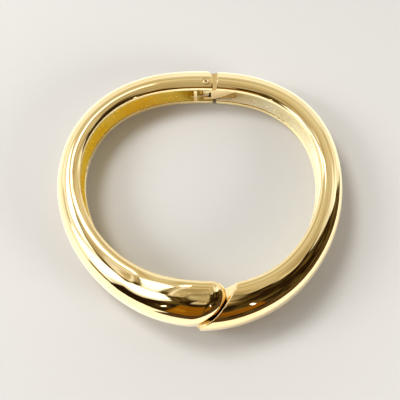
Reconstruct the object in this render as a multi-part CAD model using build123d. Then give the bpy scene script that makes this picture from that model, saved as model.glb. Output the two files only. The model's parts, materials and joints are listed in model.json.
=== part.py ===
from build123d import *

import math
import os

# Hinged, hollow-backed bangle bracelet: two cast arms, a sprung hinge at the back and a
# lapped front, where the left arm's rounded end rises over the end of the right arm.

# ---------------------------------------------------------------------------
# Driving dimensions, in millimetres and degrees. +Z is the way the wrist goes
# through, +X runs along the long side, the hinge is at +Y and the lap at -Y.
# ---------------------------------------------------------------------------

CENTRE_X, CENTRE_Y = 0.5, 1.1  # centre of the oval, so that the whole bangle is centred on the origin

# The band at twelve stations round the oval, one every 30 degrees from +X.
INNER_RADIUS = (28.75, 29.45, 27.6, 26.4, 28.75, 30.5, 29.1, 27.1, 25.9, 26.05, 27.1, 27.75)
THICKNESS = (5.7, 6.05, 6.4, 6.6, 6.4, 6.0, 6.3, 7.1, 8.4, 8.8, 7.3, 6.3)
WIDTH = (9.5, 8.8, 8.5, 8.6, 8.85, 9.15, 9.75, 10.8, 12.0, 12.55, 11.9, 10.65)

CREST = 0.32  # where the section is tallest, as a share of its thickness from the wrist side
CORNER = 0.75  # how far the rim rounds over on the wrist side
DOME_POWER = 2.3  # 2 is an ellipse; more is a fuller dome
LIP = 1.0  # flat of each rim beside the hollow
WALL = 1.0  # thickness of the dome over the hollow

LIFT = 1.6  # how far the left arm's rounded end rises to pass over the right arm
LIFT_START, LIFT_END = 232, 262
TUCK = 0.5  # how far the right arm's end stands outwards
TUCK_START, TUCK_END = 330, 295

# Hinge, placed from its pin.
PIN_ANGLE = 83.3  # round the oval
PIN_INSET = 1.85  # pin axis from the wrist side
PIN_R, PIN_HEAD_R, PIN_HEAD_H = 0.6, 0.92, 0.3
PIN_DIMPLE_R, PIN_DIMPLE_DEPTH = 0.32, 0.6
RUNNING_GAP = 0.05  # radial clearance between the pin and the knuckle
LUG_NOSE, LUG_ROUND = 1.72, 8.0  # how far the left arm passes the pin, and the radius of its end
END_INNER, END_OUTER = (2.45, -1.85), (3.5, 4.1)  # two points on the right arm's end, from the pin
POCKET_R, POCKET_H = 4.95, 4.5  # room cut in the left arm for the knuckle to swing in
KNUCKLE_H, KNUCKLE_R = 4.1, 1.6
KNUCKLE_SHOULDER = (1.2, 3.55)  # outer corner of the knuckle, from the pin
KNUCKLE_ROOT = 8.0  # how far the knuckle runs into the right arm
SLOT_H, SLOT_R = 2.3, 1.95  # room in the knuckle for the spring's coil
PLATE_NEAR, PLATE_FAR = 2.55, 3.35  # the anchor plate's faces, to the left of the pin

# Torsion spring round the pin.
WIRE_R, COIL_R, PITCH, TURNS = 0.2, 1.1, 0.43, 4
LEG_LEFT, LEG_RIGHT = 3.9, 4.2
LEG_HOLE_R = 0.27

# The lap at the front, seen from the front: the line that parts the two arms.
SEAM = ((-4.0, 0.0), (2.6, 11.0), (3.4, 12.3), (3.5, 15.0))
SEAM_GAP = 0.3
NOTCH_LOW, NOTCH_TOP = (2.0, 9.6), (5.9, 12.8)  # the corner taken off the right arm
TIP_ROUND = 5.0  # plan radius of the left arm's rounded end

# Where each arm's hollow and solid stretches run, in degrees round the oval.
LEFT_HOLLOW, LEFT_TIP = (79, 264), (264, 279)
RIGHT_HOLLOW, RIGHT_TIP = (87, -70), (-70, -101)
SECTION_STEP = 12  # degrees between lofted sections


def around(values, degrees):
    """Smooth periodic value at an angle, through values spaced evenly round the oval."""
    total = 0.0
    count = len(values)
    for index, value in enumerate(values):
        half = math.radians(degrees - 360 * index / count) / 2
        if abs(math.sin(half)) < 1e-9:
            return value
        total += value * math.sin(count * half) * math.cos(half) / (count * math.sin(half))
    return total


def ease(value, start, end):
    """0 before start and 1 after end, with a smooth rise between; start may be above end."""
    share = min(1.0, max(0.0, (value - start) / (end - start)))
    return share * share * (3 - 2 * share)


class Arm:
    """One half of the band: where its wrist side runs, and how its section changes."""

    def __init__(self, side):
        self.is_left = side == "left"

    def lift(self, degrees):
        """Height of the section's lower edge above the table."""
        return LIFT * ease(degrees, LIFT_START, LIFT_END) if self.is_left else 0.0

    def tuck(self, degrees):
        """How far the section stands outside the oval."""
        return 0.0 if self.is_left else TUCK * ease(degrees % 360, TUCK_START, TUCK_END) * (degrees < 0)

    def wrist_point(self, degrees):
        """Point on the wrist side, in plan."""
        radius = around(INNER_RADIUS, degrees) + self.tuck(degrees)
        angle = math.radians(degrees)
        return Vector(CENTRE_X + radius * math.cos(angle), CENTRE_Y + radius * math.sin(angle), 0)

    def outward(self, degrees):
        """Unit vector away from the wrist, square to the band."""
        along = self.wrist_point(degrees + 0.5) - self.wrist_point(degrees - 0.5)
        return Vector(along.Y, -along.X, 0).normalized()

    def place(self, degrees, outline):
        """Stand an outline of (outward, up) points at an angle, its middle at the band's mid-height."""
        foot = self.wrist_point(degrees)
        out = self.outward(degrees)
        middle = around(WIDTH, degrees) / 2 + self.lift(degrees)
        return [foot + out * r + Vector(0, 0, middle + z) for r, z in outline]


def power_arc(depth, half_height, steps, start=0.0):
    """Half of a superellipse from its lower end to its upper one, bulging outwards by depth."""
    points = []
    for i in range(steps + 1):
        turn = math.pi * (i / steps - 0.5)
        across = math.copysign(abs(math.sin(turn)) ** (2 / DOME_POWER), math.sin(turn))
        points.append((start + depth * abs(math.cos(turn)) ** (2 / DOME_POWER), half_height * across))
    return points


def band_outline(degrees):
    """Outer outline of the section: rounded rim, dome, rounded rim."""
    thick = around(THICKNESS, degrees)
    half = around(WIDTH, degrees) / 2
    crest = CREST * thick
    rim = []
    for i in range(4):
        turn = math.pi / 2 * (1 - i / 4)
        rim.append((crest * (1 - math.sin(turn)), CORNER * (1 - math.cos(turn)) - half))
    dome = power_arc(thick - crest, half, 12, crest)
    return rim + dome + [(r, -z) for r, z in reversed(rim)]


def hollow_outline(degrees):
    """Outline of the open hollow in the band's wrist side, without the part that stands out of it."""
    thick = around(THICKNESS, degrees)
    mouth = around(WIDTH, degrees) / 2 - CORNER - LIP
    return power_arc(thick - WALL, mouth, 12)


def closed_face(curves):
    """Face bounded by splines, each through its own points, and by straight edges from one to the next."""
    edges = []
    for curve, following in zip(curves, curves[1:] + curves[:1]):
        edges += [Spline(*curve), Line(curve[-1], following[0])]
    return make_face(edges)


def stations(span):
    """Angles from one end of a span to the other, in even steps."""
    start, end = span
    count = math.ceil(abs(end - start) / SECTION_STEP)
    return [start + (end - start) * i / count for i in range(count + 1)]


def band_solid(arm, span):
    """A stretch of the arm with no hollow, lofted through its sections."""
    return loft([closed_face([arm.place(a, band_outline(a))]) for a in stations(span)])


def shell_solid(arm, span):
    """A stretch of the arm with the hollow in its wrist side."""
    sections = []
    for angle in stations(span):
        hollow = arm.place(angle, reversed(hollow_outline(angle)))
        sections.append(closed_face([arm.place(angle, band_outline(angle)), hollow]))
    return loft(sections)


def hollow_solid(arm, span):
    """What fills a stretch of the arm's hollow."""
    return loft([closed_face([arm.place(a, hollow_outline(a))]) for a in stations(span)])


def plan_prism(points, low, high, at):
    """Prism of a plan outline given from the pin, between two heights."""
    outline = Polyline(*[(at.X + x, at.Y + y, low) for x, y in points], close=True)
    return extrude(make_face(outline), high - low, dir=(0, 0, 1))


def front_prism(points):
    """Prism of an outline seen from the front, right through the lap."""
    reach = 25
    outline = Polyline(*[(x, CENTRE_Y - reach, z) for x, z in points], close=True)
    return extrude(make_face(outline), reach, dir=(0, -1, 0))


def upright(radius, low, high, at):
    """Upright cylinder between two heights."""
    return Pos(at.X, at.Y, (low + high) / 2) * Cylinder(radius, high - low)


# ---------------------------------------------------------------------------
# Shared places
# ---------------------------------------------------------------------------

LEFT, RIGHT = Arm("left"), Arm("right")
PIN = LEFT.wrist_point(PIN_ANGLE) + LEFT.outward(PIN_ANGLE) * PIN_INSET
BAND_TOP = around(WIDTH, PIN_ANGLE)
MIDDLE = BAND_TOP / 2
FAR = 40  # longer than anything that is cut


def pocket():
    """Room for the knuckle and its swing, inside the left arm's two lugs."""
    return upright(POCKET_R, MIDDLE - POCKET_H / 2, MIDDLE + POCKET_H / 2, PIN)


def lug_trim():
    """What lies past the left arm's rounded end at the hinge."""
    beyond = plan_prism([(-1, -6), (FAR, -6), (FAR, 9), (-1, 9)], -1, FAR, PIN)
    nose = Vector(PIN.X + LUG_NOSE - LUG_ROUND, PIN.Y + 0.2, 0)
    return beyond - upright(LUG_ROUND, -2, FAR + 1, nose)


def end_trim():
    """What lies past the right arm's end at the hinge."""
    slope = (END_OUTER[0] - END_INNER[0]) / (END_OUTER[1] - END_INNER[1])
    low, high = -6, 9
    foot = END_INNER[0] + slope * (low - END_INNER[1])
    head = END_INNER[0] + slope * (high - END_INNER[1])
    return plan_prism([(-FAR, low), (foot, low), (head, high), (-FAR, high)], -1, FAR, PIN)


def tip_trim():
    """What lies outside the plan rounding of the left arm's end."""
    front = LEFT.wrist_point(270).Y - around(THICKNESS, 270)
    middle = Vector(SEAM[-1][0] - TIP_ROUND, front + TIP_ROUND, 0)
    corner = plan_prism([(0, 0), (0, -FAR), (FAR, -FAR), (FAR, 0)], -1, FAR, middle)
    return corner - upright(TIP_ROUND, -2, FAR + 1, middle)


def make_left_arm():
    """Left arm: hollow-backed shell, lugs and pin hole at the hinge, rounded end at the lap."""
    foot, head = SEAM[0], SEAM[-1]
    past_seam = front_prism([(foot[0], -1), *SEAM, (FAR, head[1]), (FAR, -1)])
    arm = shell_solid(LEFT, LEFT_HOLLOW) + band_solid(LEFT, LEFT_TIP)
    arm = arm - past_seam - tip_trim() - lug_trim() - pocket()
    arm -= upright(PIN_R, -1, BAND_TOP + 1, PIN)
    for low in (-1, BAND_TOP - PIN_HEAD_H):
        arm -= upright(PIN_HEAD_R, low, low + 1 + PIN_HEAD_H, PIN)
    return arm


def make_right_arm():
    """Right arm: hollow-backed shell, trimmed to the seam and to the gap beside the lugs."""
    moved = [(x + SEAM_GAP, z) for x, z in SEAM]
    before_seam = front_prism([(-FAR, -1), (moved[0][0], -1), *moved, (-FAR, moved[-1][1])])
    top = moved[-1][1]
    notch = front_prism([NOTCH_LOW, NOTCH_TOP, (NOTCH_TOP[0], top), (NOTCH_LOW[0], top)])
    arm = shell_solid(RIGHT, RIGHT_HOLLOW) + band_solid(RIGHT, RIGHT_TIP)
    return arm - before_seam - notch - end_trim()


def make_anchor_plate():
    """Plate soldered across the left arm's hollow; the spring's left leg passes through it."""
    slab = plan_prism([(-PLATE_FAR, -6), (-PLATE_NEAR, -6), (-PLATE_NEAR, 9), (-PLATE_FAR, 9)], -1, FAR, PIN)
    plate = hollow_solid(LEFT, (PIN_ANGLE, PIN_ANGLE + 10)) & slab
    leg_z = MIDDLE - PITCH * TURNS / 2
    hole = Pos(PIN.X - PLATE_FAR, PIN.Y - COIL_R, leg_z) * Rot(0, 90, 0) * Cylinder(LEG_HOLE_R, 3)
    return plate - hole


def make_knuckle(right_arm):
    """Knuckle soldered in the right arm's hollow end, forked round the spring's coil."""
    low, high = MIDDLE - KNUCKLE_H / 2, MIDDLE + KNUCKLE_H / 2
    reach = END_OUTER[0] + 0.6
    shoulder_x, shoulder_y = KNUCKLE_SHOULDER
    nose = plan_prism(
        [(0, -KNUCKLE_R), (reach, -KNUCKLE_R), (reach, shoulder_y), (shoulder_x, shoulder_y), (0, KNUCKLE_R)],
        low, high, PIN,
    )
    nose += upright(KNUCKLE_R, low, high, PIN)
    root_slab = plan_prism([(reach - 0.4, -KNUCKLE_R), (KNUCKLE_ROOT, -KNUCKLE_R + 0.1), (KNUCKLE_ROOT, 9),
                            (reach - 0.4, 9)], -1, FAR, PIN)
    root = hollow_solid(RIGHT, (PIN_ANGLE, PIN_ANGLE - 20)) & root_slab
    knuckle = nose + root
    knuckle -= upright(SLOT_R, MIDDLE - SLOT_H / 2, MIDDLE + SLOT_H / 2, PIN)
    knuckle -= upright(PIN_R + RUNNING_GAP, -1, FAR, PIN)
    leg_z = MIDDLE + PITCH * TURNS / 2
    knuckle -= Pos(PIN.X + 3, PIN.Y - COIL_R, leg_z) * Rot(0, 90, 0) * Cylinder(LEG_HOLE_R, 4)
    return knuckle - right_arm


def make_pin():
    """Hinge pin: a semi-tubular rivet with a flared head at each face of the band."""
    bottom, top = 0.1, BAND_TOP + 0.02
    pin = upright(PIN_R, bottom, top, PIN)
    pin += upright(PIN_HEAD_R, bottom, PIN_HEAD_H, PIN)
    pin += upright(PIN_HEAD_R, BAND_TOP - PIN_HEAD_H, top, PIN)
    return pin - upright(PIN_DIMPLE_R, top - PIN_DIMPLE_DEPTH, top + 1, PIN)


def make_spring():
    """Torsion spring round the pin, with a straight leg into each arm."""
    height = PITCH * TURNS
    helix = Pos(PIN.X, PIN.Y, MIDDLE - height / 2) * Rot(0, 0, -90) * Helix(PITCH, height, COIL_R)
    left_leg = Line(helix @ 0 - Vector(LEG_LEFT, 0, 0), helix @ 0)
    right_leg = Line(helix @ 1, helix @ 1 + Vector(LEG_RIGHT, 0, 0))
    route = Wire([left_leg.edge(), helix.edge(), right_leg.edge()])
    return sweep(Plane(origin=route @ 0, z_dir=route % 0) * Circle(WIRE_R), path=route)


def main():
    """Build every piece, and write one STEP file for each."""
    os.makedirs("parts", exist_ok=True)
    right_arm = make_right_arm()
    pieces = {
        "left_arm": make_left_arm(),
        "right_arm": right_arm,
        "hinge_knuckle": make_knuckle(right_arm),
        "hinge_pin": make_pin(),
        "closing_spring": make_spring(),
        "spring_anchor_plate": make_anchor_plate(),
    }
    for name, piece in pieces.items():
        export_step(piece, f"parts/{name}.step")
    box = Compound(children=[p for p in pieces.values()]).bounding_box()
    print("whole", box.min, box.max, "pin", PIN, "band top", BAND_TOP)


main()
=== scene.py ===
"""Looks for a hinged, hollow-backed bangle bracelet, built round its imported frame.

The two arms are drawn as smooth lofted castings, the rivet is turned, the spring is
swept from wire, and the knuckle and anchor plate are dressed where they stand.
"""

import json
import logging
import math
from dataclasses import dataclass, field, replace
from enum import Enum
from functools import cached_property
from typing import Callable, Sequence

import bmesh
import bpy
import numpy as np
from mathutils import Matrix, Vector


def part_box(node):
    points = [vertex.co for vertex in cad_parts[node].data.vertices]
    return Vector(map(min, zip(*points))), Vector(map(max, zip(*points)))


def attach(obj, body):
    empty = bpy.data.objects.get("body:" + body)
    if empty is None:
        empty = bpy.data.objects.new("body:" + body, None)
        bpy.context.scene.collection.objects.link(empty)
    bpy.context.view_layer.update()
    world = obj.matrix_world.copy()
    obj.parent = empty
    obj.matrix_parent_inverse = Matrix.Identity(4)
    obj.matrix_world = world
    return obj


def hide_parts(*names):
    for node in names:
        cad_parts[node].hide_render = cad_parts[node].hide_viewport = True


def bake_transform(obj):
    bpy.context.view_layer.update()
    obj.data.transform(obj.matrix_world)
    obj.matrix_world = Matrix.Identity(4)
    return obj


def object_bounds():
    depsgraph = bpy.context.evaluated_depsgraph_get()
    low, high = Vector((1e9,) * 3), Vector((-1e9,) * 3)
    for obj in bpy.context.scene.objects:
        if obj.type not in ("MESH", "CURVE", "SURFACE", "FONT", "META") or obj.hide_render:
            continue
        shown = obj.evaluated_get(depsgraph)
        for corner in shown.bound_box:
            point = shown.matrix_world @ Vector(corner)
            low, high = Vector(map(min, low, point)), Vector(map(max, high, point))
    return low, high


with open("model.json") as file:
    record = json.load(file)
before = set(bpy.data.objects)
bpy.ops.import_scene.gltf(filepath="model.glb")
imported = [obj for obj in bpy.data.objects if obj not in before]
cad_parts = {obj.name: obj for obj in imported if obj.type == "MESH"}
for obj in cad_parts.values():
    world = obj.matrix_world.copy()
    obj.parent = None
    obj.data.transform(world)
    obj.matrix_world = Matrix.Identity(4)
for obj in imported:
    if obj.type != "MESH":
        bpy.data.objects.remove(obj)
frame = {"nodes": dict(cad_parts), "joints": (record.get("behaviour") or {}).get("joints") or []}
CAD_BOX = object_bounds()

LOG = logging.getLogger("bangle")
MM = 0.001  # metres in a millimetre
WELD = 0.5e-6  # metres within which two points are one
TINY = 1e-9
Array = np.ndarray
Colour = tuple[float, float, float]
EndRule = Callable[[Array], Array]


# ---------------------------------------------------------------------------
# Shape rules, in millimetres and degrees
# ---------------------------------------------------------------------------


def around(values: Sequence[float], degrees: Array) -> Array:
    """Smooth periodic values through stations spaced evenly round the oval.

    Args:
        values: One value for each station, the first at +X, going anticlockwise.
        degrees: Angles at which values are wanted.

    Returns:
        A value for each angle.
    """
    count = len(values)
    half = np.radians(np.asarray(degrees, float)[..., None] - 360 / count * np.arange(count)) / 2
    sine = np.sin(half)
    at_station = np.abs(sine) < TINY
    weight = np.sin(count * half) * np.cos(half) / (count * np.where(at_station, 1.0, sine))
    return np.where(at_station, 1.0, weight) @ np.asarray(values)


def ease(value: Array, start: float, end: float) -> Array:
    """0 before start and 1 after end, rising smoothly between; start may be above end."""
    share = np.clip((np.asarray(value, float) - start) / (end - start), 0, 1)
    return share * share * (3 - 2 * share)


def soft_min(first: Array, second: Array, softness: float) -> Array:
    """The lesser of two values, with the corner between them rounded off."""
    return -softness * np.logaddexp(-first / softness, -second / softness)


class Kind(Enum):
    """The stretch of a section's outline that a point lies on."""

    FILLET = 0
    LIP = 1
    RIM = 2
    DOME = 3
    HOLLOW = 4


class Surface(Enum):
    """The part of a casting that a finish goes on; its value is the material number."""

    OUTSIDE = 0
    HOLLOW = 1
    LIP = 2


SURFACE_OF = {Kind.HOLLOW.value: Surface.HOLLOW, Kind.FILLET.value: Surface.LIP, Kind.LIP.value: Surface.LIP}


@dataclass(frozen=True)
class Section:
    """Cross-section of the band: a domed outside, two rims and an open hollow."""

    crest: float = 0.32  # where it is widest, as a share of its thickness from the wrist side
    corner: float = 0.75  # how far each rim rounds over
    dome_power: float = 2.3  # 2 is an ellipse; more is a fuller dome
    lip: float = 1.0  # flat of each rim beside the hollow
    wall: float = 1.0  # thickness of the dome over the hollow
    fillet: float = 0.28  # rounding where a lip turns into the hollow
    closed_mouth: float = 0.4  # share of the mouth's width that is left where the hollow ends
    core: float = 0.47  # middle of the section, as a share of its thickness from the wrist side
    dome_points: int = 60
    rim_points: int = 14
    lip_points: int = 4
    fillet_points: int = 6
    hollow_points: int = 44

    @cached_property
    def stations(self) -> tuple[Array, Array, Array]:
        """Where each outline point stands.

        Returns:
            Its kind, its side (-1 below, 1 above) and its share of the way along that kind.
        """
        runs = [
            (Kind.FILLET, -1, self.fillet_points, False),
            (Kind.LIP, -1, self.lip_points, False),
            (Kind.RIM, -1, self.rim_points, False),
            (Kind.DOME, 0, self.dome_points, False),
            (Kind.RIM, 1, self.rim_points, True),
            (Kind.LIP, 1, self.lip_points, True),
            (Kind.FILLET, 1, self.fillet_points, True),
            (Kind.HOLLOW, 0, self.hollow_points, False),
        ]
        kinds, sides, shares = [], [], []
        for kind, side, count, backwards in runs:
            share = np.arange(count) / count
            kinds += [kind.value] * count
            sides += [side] * count
            shares += list(1 - share if backwards else share)
        return np.array(kinds), np.array(sides, float), np.array(shares)

    def outline(self, thick: Array, half: Array, opening: Array) -> tuple[Array, Array]:
        """Outline points, each for its own place along the band.

        Args:
            thick: Thickness of the band at each point.
            half: Half the band's width at each point.
            opening: 1 where the hollow is full, 0 where it has closed.

        Returns:
            Distances outwards from the wrist side, and heights from mid-width.
        """
        kind, side, share = self.stations
        quarter = share * math.pi / 2
        power = 2 / self.dome_power
        crest = self.crest * thick
        fillet = self.fillet * opening
        depth = fillet + (thick - self.wall - self.fillet) * opening
        mouth = (half - self.corner - self.lip) * (self.closed_mouth + (1 - self.closed_mouth) * opening)
        shoulder = half - self.corner
        turn = math.pi * np.where(kind == Kind.DOME.value, share - 0.5, 0.5 - share)
        across = np.abs(np.cos(turn)) ** power
        upward = np.sign(np.sin(turn)) * np.abs(np.sin(turn)) ** power
        choices = [kind == k.value for k in Kind]
        out = np.select(choices, [
            fillet * (1 - np.sin(quarter)),
            0 * thick,
            crest * (1 - np.cos(quarter)),
            crest + (thick - crest) * across,
            fillet + (depth - fillet) * across,
        ])
        up = np.select(choices, [
            side * (mouth + self.fillet * (1 - np.cos(quarter))),
            side * (mouth + self.fillet + (shoulder - mouth - self.fillet) * share),
            side * (shoulder + self.corner * np.sin(quarter)),
            half * upward,
            mouth * upward,
        ])
        return out, up


@dataclass(frozen=True)
class Hinge:
    """Sizes round the hinge pin, in millimetres from the pin."""

    x: float
    y: float
    middle: float  # height of the pin's middle
    lug_nose: float = 1.72  # how far the left arm passes the pin
    lug_aside: float = 0.2  # how far outwards of the pin the nose of that end is
    lug_round: float = 8.0  # plan radius of that end
    end_inner: tuple[float, float] = (2.45, -1.85)  # two points on the right arm's end
    end_outer: tuple[float, float] = (3.5, 4.1)
    pocket_radius: float = 4.95  # room in the left arm for the knuckle
    pocket_height: float = 4.5
    pin_radius: float = 0.6
    head_radius: float = 0.92
    head_height: float = 0.3
    seat_gap: float = 0.1  # groove round each head

    def lug_end(self, points: Array) -> Array:
        """How far points lie past the left arm's rounded hinge end.

        Args:
            points: Points in millimetres, on the last axis.

        Returns:
            A distance along X for each point.
        """
        aside = np.clip(points[..., 1] - self.y - self.lug_aside, -self.lug_round, self.lug_round)
        nose = self.x + self.lug_nose - self.lug_round + np.sqrt(self.lug_round**2 - aside**2)
        return points[..., 0] - nose

    def slanted_end(self, points: Array) -> Array:
        """How far points lie past the right arm's slanted hinge end.

        Args:
            points: Points in millimetres, on the last axis.

        Returns:
            A distance along X for each point.
        """
        (x0, y0), (x1, y1) = self.end_inner, self.end_outer
        slope = (x1 - x0) / (y1 - y0)
        return self.x + x0 + slope * (points[..., 1] - self.y - y0) - points[..., 0]


@dataclass(frozen=True)
class Lap:
    """The parting of the two arms at the front, seen from the front."""

    foot_x: float = -3.9  # where the seam meets the table
    slope: float = 0.78  # how far the seam goes to the right for each millimetre up
    nose_x: float = 4.5  # how far right the left arm's tip reaches
    softness: float = 0.3  # rounding between the seam and the tip
    gap: float = 0.2  # between the two arms
    tip_round: float = 6.5  # plan radius of the tip's outer side
    round_share: float = 0.999  # how much of that radius is used, so that its slope stays finite
    front_y: float = -33.75  # front of the band
    tip_depth: float = 4.8  # how far the dome of the tip goes back
    tip_power: float = 2.25  # 2 is an elliptical dome; more is a fuller one
    tip_section: tuple[float, float, float, float] = (-28.9, 7.9, 4.7, 6.3)  # middle Y, Z, half depth, height
    cup_reach: float = 1.1  # how far the right end reaches into the room behind the dome's edge
    cup_softness: float = 0.15
    notch: tuple[float, float, float] = (5.2, -27.9, 12.5)  # a point on the facet cut off the right end's top
    notch_slopes: tuple[float, float] = (0.7, 0.62)
    notch_softness: float = 0.2

    def over_edge(self, points: Array) -> Array:
        """Where along X the left arm's end surface lies.

        Args:
            points: Points in millimetres, of which only the depths and heights count.

        Returns:
            An X for each point.
        """
        seam = self.foot_x + self.slope * points[..., 2]
        aside = np.clip(self.front_y + self.tip_round - points[..., 1], 0, self.tip_round * self.round_share)
        rounding = self.tip_round - np.sqrt(self.tip_round**2 - aside**2)
        return soft_min(seam, self.nose_x - rounding, self.softness)

    def over_end(self, points: Array) -> Array:
        """How far points lie past the left arm's rounded end."""
        return points[..., 0] - self.over_edge(points)

    def dome_back(self, size: Array) -> Array:
        """How far the left arm's domed end stands back from its tip, at each share of its section."""
        held = np.minimum(np.abs(size), 1) ** self.tip_power
        return self.tip_depth * (1 - (1 - held) ** (1 / self.tip_power))

    def under_end(self, points: Array) -> Array:
        """How far points lie past the right arm's end, which cups the left arm's tip.

        Args:
            points: Points in millimetres, on the last axis.

        Returns:
            A distance along X for each point.
        """
        x, y, z = self.notch
        across, upward = self.notch_slopes
        notch = x + across * (points[..., 1] - y) + upward * (points[..., 2] - z)
        mid_y, mid_z, half_y, half_z = self.tip_section
        size = np.hypot((points[..., 1] - mid_y) / half_y, (points[..., 2] - mid_z) / half_z)
        reach = soft_min(self.dome_back(size), self.cup_reach + 0 * size, self.cup_softness)
        cup = self.over_edge(points) + self.gap - reach
        return -soft_min(-cup, -notch, self.notch_softness) - points[..., 0]


class Side(Enum):
    """Which arm of the bangle."""

    LEFT = "left"
    RIGHT = "right"


@dataclass(frozen=True)
class Band:
    """One arm's run round the wrist, and how its section changes along it.

    Radius, thickness and width are given at twelve stations, one every 30 degrees from +X.
    """

    side: Side
    centre: tuple[float, float] = (0.5, 1.1)
    inner_radius: tuple[float, ...] = (28.75, 29.45, 27.6, 26.4, 28.75, 30.5,
                                       29.1, 27.1, 25.9, 26.05, 27.1, 27.75)
    thickness: tuple[float, ...] = (5.7, 6.05, 6.4, 6.6, 6.4, 6.0, 6.3, 7.1, 8.4, 8.8, 7.3, 6.3)
    width: tuple[float, ...] = (9.5, 8.8, 8.5, 8.6, 8.85, 9.15, 9.75, 10.8, 12.0, 12.55, 11.9, 10.65)
    lift: float = 1.6  # how far the left arm's end rises to pass over the right arm
    lift_span: tuple[float, float] = (232, 262)
    tuck: float = 0.5  # how far the right arm's end stands outwards
    tuck_span: tuple[float, float] = (330, 295)
    left_closing: tuple[float, float] = (252, 264)  # where each hollow closes
    right_closing: tuple[float, float] = (302, 290)
    closing_power: float = 0.8  # 0.5 is a round end to the hollow; more is a more pointed one
    meet_step: float = 0.05  # degrees between the two trial rings that find an end
    meet_rounds: int = 14
    meet_limit: float = 5.0  # degrees that one round may move a point
    section: Section = Section()

    def opening(self, degrees: Array) -> Array:
        """How open the hollow is, ring by ring, so that its end slants as the lap does.

        Args:
            degrees: Angle of each outline point, with the ring on the last axis.

        Returns:
            1 along the hollow, falling to 0 in a rounded end before the lap.
        """
        middle = degrees.mean(-1, keepdims=True) + 0 * degrees
        left = self.side is Side.LEFT
        start, end = self.left_closing if left else self.right_closing
        turned = middle if left else 360 + np.minimum(middle, 0)
        share = np.clip((turned - start) / (end - start), 0, 1)
        return (1 - share * share) ** self.closing_power

    def rise(self, degrees: Array) -> Array:
        """How far the arm's lower edge stands above the table."""
        return self.lift * ease(degrees, *self.lift_span) if self.side is Side.LEFT else 0 * degrees

    def foot(self, degrees: Array) -> Array:
        """Points of the wrist side, in plan.

        Args:
            degrees: Angles round the oval.

        Returns:
            X and Y of each point, on a new last axis.
        """
        radius = around(self.inner_radius, degrees)
        if self.side is Side.RIGHT:
            radius = radius + self.tuck * ease(degrees % 360, *self.tuck_span) * (degrees < 0)
        angle = np.radians(degrees)
        x = self.centre[0] + radius * np.cos(angle)
        y = self.centre[1] + radius * np.sin(angle)
        return np.stack([x, y], -1)

    def points(self, degrees: Array, inset: float = 0.0, shrink: float = 1.0) -> Array:
        """Section points in space, each outline point at its own angle.

        Args:
            degrees: Angle for each outline point, on the last axis.
            inset: Distance by which the outline is drawn in along its own normal.
            shrink: Scale of the outline about the middle of the section.

        Returns:
            Points in millimetres, on a new last axis.
        """
        thick = around(self.thickness, degrees)
        half = around(self.width, degrees) / 2
        out, up = self.section.outline(thick, half, self.opening(degrees))
        if inset:
            along_out = np.roll(out, -1, -1) - np.roll(out, 1, -1)
            along_up = np.roll(up, -1, -1) - np.roll(up, 1, -1)
            length = np.hypot(along_out, along_up) + TINY
            out, up = out - inset * along_up / length, up + inset * along_out / length
        core = self.section.core * thick
        out, up = core + shrink * (out - core), shrink * up
        along = self.foot(degrees + 0.5) - self.foot(degrees - 0.5)
        along /= np.linalg.norm(along, axis=-1, keepdims=True)
        plan = self.foot(degrees) + np.stack([along[..., 1], -along[..., 0]], -1) * out[..., None]
        return np.concatenate([plan, (half + self.rise(degrees) + up)[..., None]], -1)

    def meet(self, rule: EndRule, guess: float, inset: float = 0.0, shrink: float = 1.0) -> Array:
        """Angle at which each outline point comes to an end surface.

        Args:
            rule: How far points lie past the end surface.
            guess: Angle to start from.
            inset: As for points.
            shrink: As for points.

        Returns:
            One angle for each outline point.
        """
        angle = np.full(len(self.section.stations[0]), float(guess))
        for _ in range(self.meet_rounds):
            here = rule(self.points(angle, inset, shrink))
            ahead = rule(self.points(angle + self.meet_step, inset, shrink))
            change = self.meet_step * here / (ahead - here)
            angle = angle - np.clip(change, -self.meet_limit, self.meet_limit)
        return angle

    def degrees_for(self, distance: float, degrees: float) -> float:
        """Angle that a distance along the middle of the band takes up."""
        radius = around(self.inner_radius, degrees) + around(self.thickness, degrees) / 2
        return math.degrees(distance / float(radius))


# ---------------------------------------------------------------------------
# Shader node groups
# ---------------------------------------------------------------------------


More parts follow.
